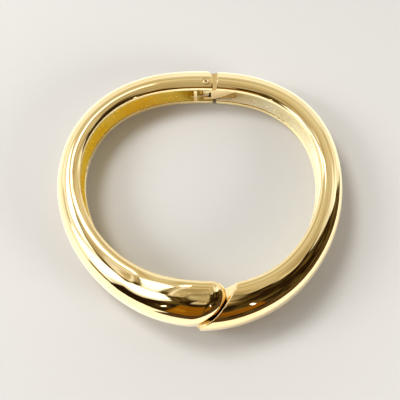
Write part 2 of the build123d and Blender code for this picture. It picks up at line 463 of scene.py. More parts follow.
class Nodes:
    """Small helper that adds and links nodes in one tree."""

    def __init__(self, tree: bpy.types.NodeTree) -> None:
        """Keep the tree that nodes are added to."""
        self.tree = tree

    def add(self, kind: str, **settings: object) -> bpy.types.Node:
        """Add a node.

        Args:
            kind: The node's type name.
            **settings: Properties of the node to set.

        Returns:
            The new node.
        """
        node = self.tree.nodes.new(kind)
        for name, value in settings.items():
            setattr(node, name, value)
        return node

    def link(self, source: bpy.types.NodeSocket, target: bpy.types.NodeSocket) -> None:
        """Join an output to an input."""
        self.tree.links.new(source, target)

    def math(self, operation: str, *values: object, clamp: bool = False) -> bpy.types.NodeSocket:
        """A Math node on sockets or numbers.

        Args:
            operation: The Math node's operation.
            *values: Its inputs, each a socket or a number.
            clamp: Whether the result is held between 0 and 1.

        Returns:
            Its output socket.
        """
        node = self.add("ShaderNodeMath", operation=operation, use_clamp=clamp)
        for socket, value in zip(node.inputs, values):
            self.feed(socket, value)
        return node.outputs[0]

    def feed(self, socket: bpy.types.NodeSocket, value: object) -> None:
        """Give an input a link or a constant.

        Args:
            socket: The input.
            value: A socket to link to it, or its constant value.
        """
        if isinstance(value, bpy.types.NodeSocket):
            self.link(value, socket)
        else:
            socket.default_value = value

    def ramp(self, value: object, low: float, high: float) -> bpy.types.NodeSocket:
        """A smooth step.

        Args:
            value: A socket or a number.
            low: The value at which the step is 0; it may be above high.
            high: The value at which it is 1.

        Returns:
            Its output socket.
        """
        node = self.add("ShaderNodeMapRange", interpolation_type="SMOOTHSTEP")
        self.feed(node.inputs["Value"], value)
        node.inputs["From Min"].default_value = low
        node.inputs["From Max"].default_value = high
        return node.outputs["Result"]

    def noise(self, vector: bpy.types.NodeSocket, scale: object, detail: float,
              rough: float) -> bpy.types.NodeSocket:
        """Noise between 0 and 1.

        Args:
            vector: The place it is read at.
            scale: Its scale, a socket or a number.
            detail: How many finer layers it has.
            rough: How strong each finer layer is.

        Returns:
            Its output socket.
        """
        node = self.add("ShaderNodeTexNoise")
        self.link(vector, node.inputs["Vector"])
        self.feed(node.inputs["Scale"], scale)
        node.inputs["Detail"].default_value = detail
        node.inputs["Roughness"].default_value = rough
        return node.outputs["Fac"]

    def blend(self, share: object, first: object, second: object, mode: str = "MIX") -> bpy.types.NodeSocket:
        """Mix two colours.

        Args:
            share: How much of the second is used.
            first: A colour or a socket.
            second: A colour or a socket.
            mode: The way they are mixed.

        Returns:
            The mixed colour's socket.
        """
        node = self.add("ShaderNodeMix", data_type="RGBA", blend_type=mode)
        self.feed(node.inputs[0], share)
        for socket, value in ((node.inputs[6], first), (node.inputs[7], second)):
            self.feed(socket, (*value, 1.0) if isinstance(value, tuple) else value)
        return node.outputs[2]


class Group:
    """A shader node group with named inputs and outputs."""

    def __init__(self, name: str, inputs: dict[str, str], outputs: dict[str, str]) -> None:
        """Make the group and its sockets.

        Args:
            name: Name of the group.
            inputs: Socket types by input name.
            outputs: Socket types by output name.
        """
        self.tree = bpy.data.node_groups.new(name, "ShaderNodeTree")
        for label, kind in inputs.items():
            self.tree.interface.new_socket(name=label, in_out="INPUT", socket_type=kind)
        for label, kind in outputs.items():
            self.tree.interface.new_socket(name=label, in_out="OUTPUT", socket_type=kind)
        self.nodes = Nodes(self.tree)
        self.inputs = self.nodes.add("NodeGroupInput").outputs
        self.outputs = self.nodes.add("NodeGroupOutput").inputs

    def place(self, nodes: Nodes, **values: object) -> bpy.types.Node:
        """Put the group in a material.

        Args:
            nodes: The material's node helper.
            **values: Input values by name, with _ for a space.

        Returns:
            The group's node.
        """
        node = nodes.add("ShaderNodeGroup", node_tree=self.tree)
        for name, value in values.items():
            nodes.feed(node.inputs[name.replace("_", " ")], value)
        return node


FLOAT = "NodeSocketFloat"
VECTOR = "NodeSocketVector"
COLOUR = "NodeSocketColor"


def make_polish_group() -> Group:
    """Hand polish: slow waves in the surface, and fine wheel marks that dull it a little.

    Returns:
        The group, which gives a height and a mask of the duller places.
    """
    group = Group("hand_polish", {"Place": VECTOR, "Wave Scale": FLOAT, "Mark Scale": FLOAT, "Marks": FLOAT},
                  {"Height": FLOAT, "Dulling": FLOAT})
    nodes, given = group.nodes, group.inputs
    wave = nodes.noise(given["Place"], given["Wave Scale"], detail=1.5, rough=0.45)
    stretch = nodes.add("ShaderNodeMapping")
    nodes.link(given["Place"], stretch.inputs["Vector"])
    stretch.inputs["Scale"].default_value = (1, 1, 5)
    marks = nodes.noise(stretch.outputs["Vector"], given["Mark Scale"], detail=3, rough=0.6)
    fine = nodes.math("MULTIPLY", marks, given["Marks"])
    nodes.link(nodes.math("ADD", wave, fine), group.outputs["Height"])
    patch_scale = nodes.math("MULTIPLY", given["Wave Scale"], 3.0)
    patchy = nodes.noise(given["Place"], patch_scale, detail=4, rough=0.6)
    dull = nodes.math("MULTIPLY", nodes.ramp(patchy, 0.42, 0.75), nodes.ramp(marks, 0.35, 0.8))
    nodes.link(dull, group.outputs["Dulling"])
    return group


def make_grain_group() -> Group:
    """Cast skin: rounded grains and pits left by the mould.

    Returns:
        The group, which gives a height and a mask of the pits.
    """
    group = Group("cast_grain", {"Place": VECTOR, "Scale": FLOAT}, {"Height": FLOAT, "Pits": FLOAT})
    nodes, given = group.nodes, group.inputs
    cells = nodes.add("ShaderNodeTexVoronoi", feature="SMOOTH_F1")
    nodes.link(given["Place"], cells.inputs["Vector"])
    nodes.link(given["Scale"], cells.inputs["Scale"])
    grain = nodes.noise(given["Place"], nodes.math("MULTIPLY", given["Scale"], 0.35), detail=4, rough=0.6)
    lumps = nodes.math("MULTIPLY", cells.outputs["Distance"], 0.6)
    nodes.link(nodes.math("ADD", lumps, grain), group.outputs["Height"])
    nodes.link(nodes.ramp(grain, 0.58, 0.72), group.outputs["Pits"])
    return group


def make_tone_group() -> Group:
    """Plating tone: a warm and a pale gold that drift into each other, with painted shade in concave corners.

    Returns:
        The group, which gives a colour and a mask of the edges that wear first.
    """
    inputs = {"Place": VECTOR, "Scale": FLOAT, "Pale": COLOUR, "Warm": COLOUR, "Corner": COLOUR}
    group = Group("plating_tone", inputs, {"Colour": COLOUR, "Edge": FLOAT})
    nodes, given = group.nodes, group.inputs
    drift = nodes.ramp(nodes.noise(given["Place"], given["Scale"], detail=3, rough=0.5), 0.35, 0.7)
    tone = nodes.blend(drift, given["Pale"], given["Warm"])
    bend = nodes.add("ShaderNodeNewGeometry").outputs["Pointiness"]
    # Painted shade: concave places, found by pointiness, are blended towards the darker corner colour.
    painted_corner_shade = nodes.ramp(bend, 0.495, 0.44)
    nodes.link(nodes.blend(painted_corner_shade, tone, given["Corner"]), group.outputs["Colour"])
    nodes.link(nodes.ramp(bend, 0.52, 0.6), group.outputs["Edge"])
    return group


@dataclass(frozen=True)
class Finishers:
    """The node groups that the finishes share."""

    polish: Group
    grain: Group
    tone: Group

    @classmethod
    def make(cls) -> "Finishers":
        """Build each group once."""
        return cls(make_polish_group(), make_grain_group(), make_tone_group())


@dataclass(frozen=True)
class Plating:
    """A plated metal finish, with heights in metres and scales in waves for each metre."""

    name: str
    pale: Colour
    warm: Colour
    # Darker colour painted into concave corners as shade.
    corner: Colour
    roughness: float
    dulling: float  # how much rougher the duller places are
    metallic: float = 1.0
    drift_scale: float = 90.0
    wave_scale: float = 160.0
    wave_height: float = 0.00003
    mark_scale: float = 5200.0
    marks: float = 0.02  # height of the wheel marks, as a share of the waves
    grain_scale: float = 0.0
    grain_height: float = 0.0
    grain_dulling: float = 0.0
    edge_polish: float = 0.5  # how much of the roughness wears off at the edges

    def build(self, shared: Finishers) -> bpy.types.Material:
        """Make the material.

        Args:
            shared: The node groups that finishes use.

        Returns:
            A node material.
        """
        material = bpy.data.materials.new(self.name)
        material.use_nodes = True
        nodes = Nodes(material.node_tree)
        shader = material.node_tree.nodes["Principled BSDF"]
        shader.inputs["Metallic"].default_value = self.metallic
        place = nodes.add("ShaderNodeTexCoord").outputs["Object"]
        tone = shared.tone.place(nodes, Place=place, Scale=self.drift_scale, Pale=(*self.pale, 1),
                                 Warm=(*self.warm, 1), Corner=(*self.corner, 1))
        polish = shared.polish.place(nodes, Place=place, Wave_Scale=self.wave_scale,
                                     Mark_Scale=self.mark_scale, Marks=self.marks)
        nodes.link(tone.outputs["Colour"], shader.inputs["Base Color"])
        dull = nodes.math("MULTIPLY", polish.outputs["Dulling"], self.dulling)
        rough = nodes.math("ADD", dull, self.roughness)
        bump = nodes.add("ShaderNodeBump")
        bump.inputs["Distance"].default_value = self.wave_height
        nodes.link(polish.outputs["Height"], bump.inputs["Height"])
        if self.grain_height:
            grain = shared.grain.place(nodes, Place=place, Scale=self.grain_scale)
            pitted = nodes.math("MULTIPLY", grain.outputs["Pits"], self.grain_dulling)
            rough = nodes.math("ADD", pitted, rough)
            coarse = nodes.add("ShaderNodeBump")
            coarse.inputs["Distance"].default_value = self.grain_height
            nodes.link(grain.outputs["Height"], coarse.inputs["Height"])
            nodes.link(bump.outputs["Normal"], coarse.inputs["Normal"])
            bump = coarse
        worn = nodes.math("MULTIPLY", tone.outputs["Edge"], -self.edge_polish * self.roughness)
        nodes.link(nodes.math("ADD", rough, worn, clamp=True), shader.inputs["Roughness"])
        nodes.link(bump.outputs["Normal"], shader.inputs["Normal"])
        return material


POLISHED = Plating("polished_band", pale=(0.94, 0.76, 0.43), warm=(0.93, 0.72, 0.38),
                   corner=(0.90, 0.64, 0.28), roughness=0.018, dulling=0.03)
CAST = Plating("cast_hollow", pale=(1.0, 0.88, 0.30), warm=(1.0, 0.76, 0.10), corner=(0.94, 0.60, 0.05),
               roughness=0.20, dulling=0.10, metallic=0.5, drift_scale=75.0, wave_scale=420.0,
               wave_height=0.00012, grain_scale=3000.0, grain_height=0.00009, grain_dulling=0.15)
# The same cast finish drawn paler for the right arm's hollow: painted light, so that hollow looks more
# brightly lit.
CAST_PAINTED_LIGHT = replace(CAST, name="cast_hollow_painted_light", pale=(1.0, 0.97, 0.86), warm=(1.0, 0.90, 0.60),
                    corner=(0.95, 0.74, 0.30))
FILED = Plating("filed_lip", pale=(0.97, 0.84, 0.52), warm=(0.94, 0.76, 0.40), corner=(0.88, 0.62, 0.20),
                roughness=0.06, dulling=0.06, wave_scale=900.0, wave_height=0.00005, grain_scale=2200.0,
                grain_height=0.00007, grain_dulling=0.1)
FITTING = Plating("hinge_fittings", pale=(0.92, 0.72, 0.40), warm=(0.88, 0.64, 0.30),
                  corner=(0.78, 0.48, 0.16), roughness=0.14, dulling=0.1, wave_scale=600.0,
                  grain_scale=7000.0, grain_height=0.000006, grain_dulling=0.1)
RIVET = Plating("rivet", pale=(0.93, 0.76, 0.46), warm=(0.90, 0.70, 0.38), corner=(0.80, 0.54, 0.22),
                roughness=0.08, dulling=0.08, wave_scale=900.0, wave_height=0.00001)
WIRE = Plating("spring_wire", pale=(0.90, 0.78, 0.54), warm=(0.86, 0.70, 0.42), corner=(0.60, 0.42, 0.20),
               roughness=0.12, dulling=0.12, wave_scale=1500.0, wave_height=0.000008, mark_scale=9000.0,
               marks=0.2)


# ---------------------------------------------------------------------------
# Mesh helpers
# ---------------------------------------------------------------------------


def mesh_object(name: str, points: Array, faces: list[tuple[int, ...]], marks: list[int]) -> bpy.types.Object:
    """Make a smooth mesh object.

    Args:
        name: Name of the object and its mesh.
        points: Points in millimetres.
        faces: Point numbers of each face.
        marks: Material number of each face.

    Returns:
        The new object, in the scene.
    """
    mesh = bpy.data.meshes.new(name)
    mesh.from_pydata((np.asarray(points) * MM).tolist(), [], faces)
    mesh.polygons.foreach_set("material_index", marks)
    obj = bpy.data.objects.new(name, mesh)
    bpy.context.scene.collection.objects.link(obj)
    return obj


def settle(obj: bpy.types.Object, sharp: float = 40.0) -> None:
    """Point faces outwards, shade them smooth, and keep sharp edges crisp.

    Args:
        obj: The mesh object.
        sharp: Angle between two faces, in degrees, above which their edge is crisp.
    """
    work = bmesh.new()
    work.from_mesh(obj.data)
    bmesh.ops.remove_doubles(work, verts=work.verts, dist=WELD)
    bmesh.ops.recalc_face_normals(work, faces=work.faces)
    for face in work.faces:
        face.smooth = True
    for edge in work.edges:
        edge.smooth = not (edge.is_manifold and edge.calc_face_angle(0.0) > math.radians(sharp))
    work.to_mesh(obj.data)
    work.free()


def use_modifier(obj: bpy.types.Object, kind: str, **settings: object) -> None:
    """Add a modifier and apply it at once.

    Args:
        obj: The mesh object.
        kind: The modifier's type name.
        **settings: Its properties.
    """
    modifier = obj.modifiers.new(kind.lower(), kind)
    for name, value in settings.items():
        setattr(modifier, name, value)
    result = bpy.data.meshes.new_from_object(obj.evaluated_get(bpy.context.evaluated_depsgraph_get()))
    obj.modifiers.clear()
    obj.data = result


def dress(obj: bpy.types.Object, slot: str, *materials: bpy.types.Material) -> None:
    """Give an object its materials.

    Args:
        obj: The mesh object, whose faces hold their material numbers.
        slot: Name of the slot; not used.
        *materials: A material for each number.
    """
    marks = [face.material_index for face in obj.data.polygons]
    obj.data.materials.clear()
    for material in materials:
        obj.data.materials.append(material)
    obj.data.polygons.foreach_set("material_index", [min(mark, len(materials) - 1) for mark in marks])


def cut_cylinder(obj: bpy.types.Object, x: float, y: float, low: float, high: float, radius: float) -> None:
    """Cut an upright round hole or pocket, with all sizes in millimetres.

    Args:
        obj: The mesh object to cut.
        x: X of the hole's axis.
        y: Y of the hole's axis.
        low: Height at which it starts.
        high: Height at which it ends.
        radius: Its radius.
    """
    sides = 96
    turns = [2 * math.pi * i / sides for i in range(sides)]
    ring = [(x + radius * math.cos(turn), y + radius * math.sin(turn)) for turn in turns]
    points = [(*p, low) for p in ring] + [(*p, high) for p in ring]
    faces = [(i, (i + 1) % sides, sides + (i + 1) % sides, sides + i) for i in range(sides)]
    faces += [tuple(reversed(range(sides))), tuple(range(sides, 2 * sides))]
    tool = mesh_object("cutter", np.array(points), faces, [0] * len(faces))
    use_modifier(obj, "BOOLEAN", operation="DIFFERENCE", object=tool, solver="EXACT")
    bpy.data.objects.remove(tool)


# ---------------------------------------------------------------------------
# Sub-assemblies
# ---------------------------------------------------------------------------


@dataclass
class Casting:
    """One cast arm: a lofted shell between two ends."""

    band: Band
    hinge: Hinge
    lap: Lap
    body: str
    rings: int = 260  # along the band
    edge: float = 0.16  # softening of the hinge end's edge
    lap_edge: float = 0.256  # softening of the right arm's end at the lap
    edge_rings: int = 4
    tip_rings: int = 30
    cup_rings: int = 30
    cup_shrink: float = 0.97  # first ring inside the edge of the right arm's end
    least_shrink: float = 0.001  # ring nearest the middle of an end
    hinge_start: tuple[float, float] = (80.0, 85.0)  # left and right, degrees from which the ends are found
    tip_start: float = 272.0
    tip_middle: float = 270.0
    cup_start: float = -88.0
    hinge_angles: Array = field(init=False, repr=False)
    lap_angles: Array = field(init=False, repr=False)

    @property
    def is_left(self) -> bool:
        """Whether this is the left arm."""
        return self.band.side is Side.LEFT

    @property
    def node(self) -> str:
        """Name of the frame's node that this casting stands for."""
        return f"{self.band.side.value}_arm"

    def hinge_rings(self) -> list[Array]:
        """Rings of the softened hinge end.

        Returns:
            Rings from the end's face to the full section.
        """
        rule = self.hinge.lug_end if self.is_left else self.hinge.slanted_end
        start = self.hinge_start[0 if self.is_left else 1]
        way = 1 if self.is_left else -1
        rings = []
        for i in range(self.edge_rings + 1):
            turn = math.pi / 2 * i / self.edge_rings
            inset, back = self.edge * (1 - math.sin(turn)), self.edge * (1 - math.cos(turn))
            self.hinge_angles = self.band.meet(rule, start, inset) + way * self.band.degrees_for(back, start)
            rings.append(self.band.points(self.hinge_angles, inset))
        return rings

    def lap_rings(self) -> list[Array]:
        """Rings of the end at the lap, from the full section to its middle."""
        return self.tip_dome() if self.is_left else self.cupped_end()

    def tip_dome(self) -> list[Array]:
        """Rings of the left arm's domed, fingertip-like end.

        Returns:
            Rings from the full section to the tip.
        """
        rings = []
        power = 2 / self.lap.tip_power
        for i in range(self.tip_rings + 1):
            turn = math.pi / 2 * i / self.tip_rings
            size = math.cos(turn) ** power
            shrink = max(size, self.least_shrink)
            back = float(self.lap.dome_back(np.array(size)))
            angle = self.band.meet(self.lap.over_end, self.tip_start, shrink=shrink)
            angle = angle - self.band.degrees_for(back, self.tip_middle)
            if i == 0:
                self.lap_angles = angle
            rings.append(self.band.points(angle, shrink=shrink))
        return rings

    def cupped_end(self) -> list[Array]:
        """Rings of the right arm's end, which has a softened edge and a cup for the left arm's tip.

        Returns:
            Rings from the full section to the middle of the cup.
        """
        rings = []
        for i in range(self.edge_rings + 1):
            turn = math.pi / 2 * i / self.edge_rings
            inset, back = self.lap_edge * (1 - math.cos(turn)), self.lap_edge * (1 - math.sin(turn))
            angle = self.band.meet(self.lap.under_end, self.cup_start, inset)
            angle = angle + self.band.degrees_for(back, self.cup_start)
            if i == 0:
                self.lap_angles = angle
            rings.append(self.band.points(angle, inset))
        for shrink in np.linspace(self.cup_shrink, self.least_shrink, self.cup_rings):
            angle = self.band.meet(self.lap.under_end, self.cup_start, self.lap_edge, shrink)
            rings.append(self.band.points(angle, self.lap_edge, shrink))
        return rings

    def skin(self, depth: Array) -> tuple[list[tuple[int, ...]], list[int]]:
        """Faces between neighbouring rings.

        Args:
            depth: How open the hollow is at each point of each ring.

        Returns:
            Point numbers of each face, and its material number.
        """
        kinds = self.band.section.stations[0]
        count = len(kinds)
        faces, marks = [], []
        for ring in range(len(depth) - 1):
            base = ring * count
            for i in range(count):
                j = (i + 1) % count
                surface = SURFACE_OF.get(kinds[i], Surface.OUTSIDE) if depth[ring, i] > 0 else Surface.OUTSIDE
                faces.append((base + i, base + j, base + count + j, base + count + i))
                marks.append(surface.value)
        return faces, marks

    def build(self) -> bpy.types.Object:
        """Loft the casting, close its ends and cut its pin seat.

        Returns:
            The arm's mesh object.
        """
        first, last = self.hinge_rings(), self.lap_rings()
        shares = np.linspace(0, 1, self.rings + 1)[1:-1, None]
        angles = self.hinge_angles + (self.lap_angles - self.hinge_angles) * shares
        rings = first + list(self.band.points(angles)) + last
        count = len(rings[0])
        depth = np.ones((len(rings), count))
        depth[len(first):-len(last)] = self.band.opening(angles)
        depth[-len(last):] = 0
        faces, marks = self.skin(depth)
        points = np.concatenate(rings + [rings[-1].mean(0, keepdims=True)])
        tip, base = len(points) - 1, (len(rings) - 1) * count
        faces += [(base + i, base + (i + 1) % count, tip) for i in range(count)]
        faces.append(tuple(reversed(range(count))))
        marks += [Surface.OUTSIDE.value] * (count + 1)
        arm = mesh_object(f"{self.node}_casting", points, faces, marks)
        settle(arm)
        if self.is_left:
            self.cut_pin_seat(arm)
            settle(arm)
        return arm

    def cut_pin_seat(self, arm: bpy.types.Object) -> None:
        """Cut the knuckle's pocket, the pin's hole and the two seats of its heads.

        Args:
            arm: The left arm's mesh object.
        """
        pin = self.hinge
        centre_x, centre_y = self.band.centre
        top = float(around(self.band.width, math.degrees(math.atan2(pin.y - centre_y, pin.x - centre_x))))
        seat = pin.head_radius + pin.seat_gap
        floor, ceiling = pin.middle - pin.pocket_height / 2, pin.middle + pin.pocket_height / 2
        cut_cylinder(arm, pin.x, pin.y, floor, ceiling, pin.pocket_radius)
        cut_cylinder(arm, pin.x, pin.y, -1, top + 1, pin.pin_radius)
        cut_cylinder(arm, pin.x, pin.y, top - pin.head_height, top + 1, seat)
        cut_cylinder(arm, pin.x, pin.y, -1, pin.head_height, seat)

    def dress(self, arm: bpy.types.Object, finishes: Sequence[bpy.types.Material]) -> None:
        """Finish the casting and set it on its body.

        Args:
            arm: The arm's mesh object.
            finishes: Materials of its outside, hollow and lips.
        """
        dress(arm, "polished_band", *finishes)
        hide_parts(self.node)
        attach(arm, self.body)


@dataclass
class Rivet:
    """The hinge pin: a turned, semi-tubular rivet with two rolled heads."""

    hinge: Hinge
    sides: int = 64
    roll: float = 0.12  # radius of the heads' rolled rims
    bevel: float = 0.02
    face_ring: float = 0.45  # ring on the lower head's face, as a share of its radius
    dimple: float = 0.3
    dimple_depth: float = 0.6
    # The dimple's rounded floor: shares of its radius, and heights.
    dimple_floor: tuple[tuple[float, float], ...] = ((1, 0.1), (0.85, 0.03), (0.5, 0), (0, 0))

    def profile(self, low: float, high: float) -> list[tuple[float, float]]:
        """Half outline of the rivet.

        Args:
            low: Height of its lower head's face.
            high: Height of its upper head's face.

        Returns:
            Radius and height pairs, from the bottom of the axis to the top.
        """
        head, neck, roll = self.hinge.head_radius, self.hinge.pin_radius, self.roll
        arc = [math.pi / 2 * i / 6 for i in range(7)]
        lower = [(head - roll + roll * math.sin(a), low + roll - roll * math.cos(a)) for a in arc]
        upper = [(head - roll + roll * math.cos(a), high - roll + roll * math.sin(a)) for a in arc]
        mouth = [(self.dimple + roll * (1 - math.sin(a)), high - roll + roll * math.cos(a)) for a in arc]
        well = [(self.dimple * share, high - self.dimple_depth + up) for share, up in self.dimple_floor]
        under, over = low + self.hinge.head_height, high - self.hinge.head_height
        stem = [(head, under - self.bevel), (neck, under), (neck, over), (head, over + self.bevel)]
        return [(0, low), (head * self.face_ring, low)] + lower + stem + upper + mouth + well

    def build(self, low: float, high: float) -> bpy.types.Object:
        """Turn the profile about the pin's axis.

        Args:
            low: Height of its lower head's face.
            high: Height of its upper head's face.

        Returns:
            The rivet's mesh object.
        """
        outline = self.profile(low, high)
        x, y = self.hinge.x, self.hinge.y
        points, faces = [], []
        for radius, z in outline:
            for i in range(self.sides):
                turn = 2 * math.pi * i / self.sides
                points.append((x + radius * math.cos(turn), y + radius * math.sin(turn), z))
        for row in range(len(outline) - 1):
            for i in range(self.sides):
                a, b = row * self.sides + i, row * self.sides + (i + 1) % self.sides
                faces.append((a, b, b + self.sides, a + self.sides))
        pin = mesh_object("hinge_rivet", np.array(points), faces, [0] * len(faces))
        settle(pin, 50)
        return pin

    def dress(self, pin: bpy.types.Object, metal: bpy.types.Material) -> None:
        """Finish the rivet and set it in the left half.

        Args:
            pin: The rivet's mesh object.
            metal: Its material.
        """
        dress(pin, "rivet", metal)
        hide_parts("hinge_pin")
        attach(pin, "left_half")


@dataclass
class Spring:
    """The closing spring: wire wound round the pin, with one leg to each arm."""

    hinge: Hinge
    wire: float = 0.2  # radius of the wire
    coil: float = 1.1  # radius of the coil's middle line
    pitch: float = 0.43
    turns: int = 4
    left_leg: float = 3.9
    right_leg: float = 4.2
    leg_steps: int = 10
    steps: int = 64  # in each turn
    sides: int = 16
    cap: tuple[float, ...] = (0.05, 0.5, 0.87)  # the wire's rounded ends, as shares of its radius

    def route(self) -> Array:
        """Middle line of the wire.

        Returns:
            Points in millimetres, from the left leg's end to the right leg's.
        """
        height = self.pitch * self.turns
        x, y, low = self.hinge.x, self.hinge.y, self.hinge.middle - height / 2
        start = -math.pi / 2
        near = [i / self.leg_steps for i in range(self.leg_steps)]
        leg = [(x - self.left_leg * (1 - share), y - self.coil, low) for share in near]
        coil = []
        for i in range(self.turns * self.steps + 1):
            turn = start + 2 * math.pi * i / self.steps
            rise = self.pitch * i / self.steps
            coil.append((x + self.coil * math.cos(turn), y + self.coil * math.sin(turn), low + rise))
        other = [(x + self.right_leg * (1 - share), y - self.coil, low + height) for share in reversed(near)]
        return np.array(leg + coil + other)

    def build(self) -> bpy.types.Object:
        """Sweep round wire along the route, with its ends rounded off.

        Returns:
            The spring's mesh object.
        """
        path = self.route()
        ahead = np.gradient(path, axis=0)
        ahead /= np.linalg.norm(ahead, axis=1, keepdims=True)
        side = np.cross(ahead, (0, 0, 1.0))
        side /= np.linalg.norm(side, axis=1, keepdims=True)
        over = np.cross(side, ahead)
        turns = 2 * np.pi * np.arange(self.sides) / self.sides
        rings = []
        for share in self.cap:
            rings.append((path[0] - ahead[0] * self.wire * math.sqrt(1 - share**2), 0, share))
        rings += [(path[i], i, 1.0) for i in range(len(path))]
        for share in reversed(self.cap):
            rings.append((path[-1] + ahead[-1] * self.wire * math.sqrt(1 - share**2), -1, share))
        points = []
        for middle, i, share in rings:
            spoke = np.cos(turns)[:, None] * side[i] + np.sin(turns)[:, None] * over[i]
            points.append(middle + spoke * self.wire * share)
        faces = []
        for row in range(len(rings) - 1):
            for i in range(self.sides):
                a, b = row * self.sides + i, row * self.sides + (i + 1) % self.sides
                faces.append((a, b, b + self.sides, a + self.sides))
        last = (len(rings) - 1) * self.sides
        faces += [tuple(reversed(range(self.sides))), tuple(range(last, last + self.sides))]
        spring = mesh_object("closing_spring_wire", np.concatenate(points), faces, [0] * len(faces))
        settle(spring, 60)
        return spring

    def dress(self, spring: bpy.types.Object, metal: bpy.types.Material) -> None:
        """Finish the wire, hide the frame's spring and bake the wire's place into its mesh.

        Args:
            spring: The spring's mesh object.
            metal: Its material.
        """
        dress(spring, "spring_wire", metal)
        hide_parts("closing_spring")
        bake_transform(spring)


# ---------------------------------------------------------------------------
# Studio
# ---------------------------------------------------------------------------


@dataclass(frozen=True)
class Wall:
    """A soft-edged part of the studio round the table, in degrees as seen from it.

    Azimuth 0 is behind the bangle, 90 to its right and 180 towards the viewer.
    """

    azimuth: float
    elevation: float
    half_width: float
    half_height: float
    edge: float
    colour: Colour


WALLS = (
    # The ceiling, the tent behind and to the left, and the shaded folds at its top.
    Wall(180, 86, 180, 6, 4, (0.50, 0.46, 0.36)),
    Wall(-22, 24, 94, 33, 1.5, (0.98, 1.02, 1.10)),
    Wall(5, 48, 45, 14, 4, (0.66, 0.63, 0.54)),
    Wall(-12, 68, 72, 10, 3, (0.54, 0.49, 0.38)),
    # Pale panels high up.
    Wall(66, 66, 8, 4, 2, (0.90, 0.87, 0.80)),
    Wall(-42, 63, 32, 1.6, 1, (0.90, 0.92, 1.0)),
    # Bright windows at the left and behind.
    Wall(-95, 34, 15, 14, 2, (2.1, 2.3, 2.7)),
    Wall(-92, 54, 14, 5, 1.5, (1.8, 2.0, 2.3)),
    Wall(-51, 49.5, 16, 7, 1.5, (1.9, 2.1, 2.5)),
    Wall(-14, 57.5, 11, 2, 1, (1.8, 1.95, 2.3)),
    # Dark bars between them, and patches of the tent that are greyer or paler than the rest.
    Wall(-70, 59, 9, 1.8, 0.8, (0.14, 0.12, 0.07)),
    Wall(-39, 57.6, 6, 0.9, 0.6, (0.28, 0.29, 0.26)),
    Wall(-72, 23, 8, 5, 3, (0.55, 0.57, 0.52)),
    Wall(-109, 6, 7, 5, 1.5, (0.30, 0.28, 0.18)),
    Wall(52, 30, 9, 8, 3, (0.58, 0.56, 0.46)),
    Wall(70, 31, 5, 8, 2, (1.1, 1.15, 1.25)),
    Wall(-30, 1.0, 85, 0.9, 0.6, (0.20, 0.17, 0.10)),
    # The room in front: amber walls, with paler panels above them.
    Wall(-162, 28, 20, 24, 2, (0.29, 0.14, 0.012)),
    Wall(-152, 27, 7, 8, 3, (0.42, 0.22, 0.02)),
    Wall(-172, 72, 16, 8, 3, (0.60, 0.55, 0.48)),
    Wall(160, 22, 15, 12, 2, (0.25, 0.12, 0.015)),
    Wall(170, 76, 30, 5, 3, (0.48, 0.40, 0.28)),
    # Two narrow lights in that room.
    Wall(-133, 27, 1.2, 4, 0.6, (5.0, 5.0, 5.0)),
    Wall(150, 37, 1.2, 5, 0.6, (5.0, 5.0, 5.0)),
)


def make_wall_group() -> Group:
    """How far a direction lies inside one part of the studio.

    Returns:
        The group, which gives a soft-edged mask.
    """
    labels = ("Azimuth", "Elevation", "Middle Azimuth", "Middle Elevation", "Half Width", "Half Height",
              "Edge")
    group = Group("studio_wall", {label: FLOAT for label in labels}, {"Mask": FLOAT})
    nodes, given = group.nodes, group.inputs
    turned = nodes.math("SUBTRACT", given["Azimuth"], given["Middle Azimuth"])
    aside = nodes.math("WRAP", turned, 180.0, -180.0)
    above = nodes.math("SUBTRACT", given["Elevation"], given["Middle Elevation"])
    masks = []
    for offset, half in ((aside, given["Half Width"]), (above, given["Half Height"])):
        inside = nodes.math("SUBTRACT", half, nodes.math("ABSOLUTE", offset))
        masks.append(nodes.ramp(nodes.math("DIVIDE", inside, given["Edge"]), -1.0, 1.0))
    nodes.link(nodes.math("MULTIPLY", *masks), group.outputs["Mask"])
    return group


@dataclass(frozen=True)
class Lamp:
    """A round soft light aimed at the bangle, which the polished metal doesn't mirror."""

    name: str
    place: tuple[float, float, float]  # metres
    size: float  # metres
    power: float  # watts

    def put_up(self) -> None:
        """Add the light to the scene."""
        data = bpy.data.lights.new(self.name, "AREA")
        data.shape = "DISK"
        data.size = self.size
        data.energy = self.power
        light = bpy.data.objects.new(self.name, data)
        light.location = self.place
        light.visible_glossy = False
        light.rotation_euler = (-Vector(self.place)).to_track_quat("-Z", "Y").to_euler()
        bpy.context.scene.collection.objects.link(light)


LAMPS = (
    Lamp("key", (-0.26, 0.24, 0.52), 0.22, 1.85),
    Lamp("side", (-0.376, 0.026, 0.245), 0.16, 0.8),
    Lamp("fill", (0.30, -0.20, 0.12), 0.16, 0.95),
)


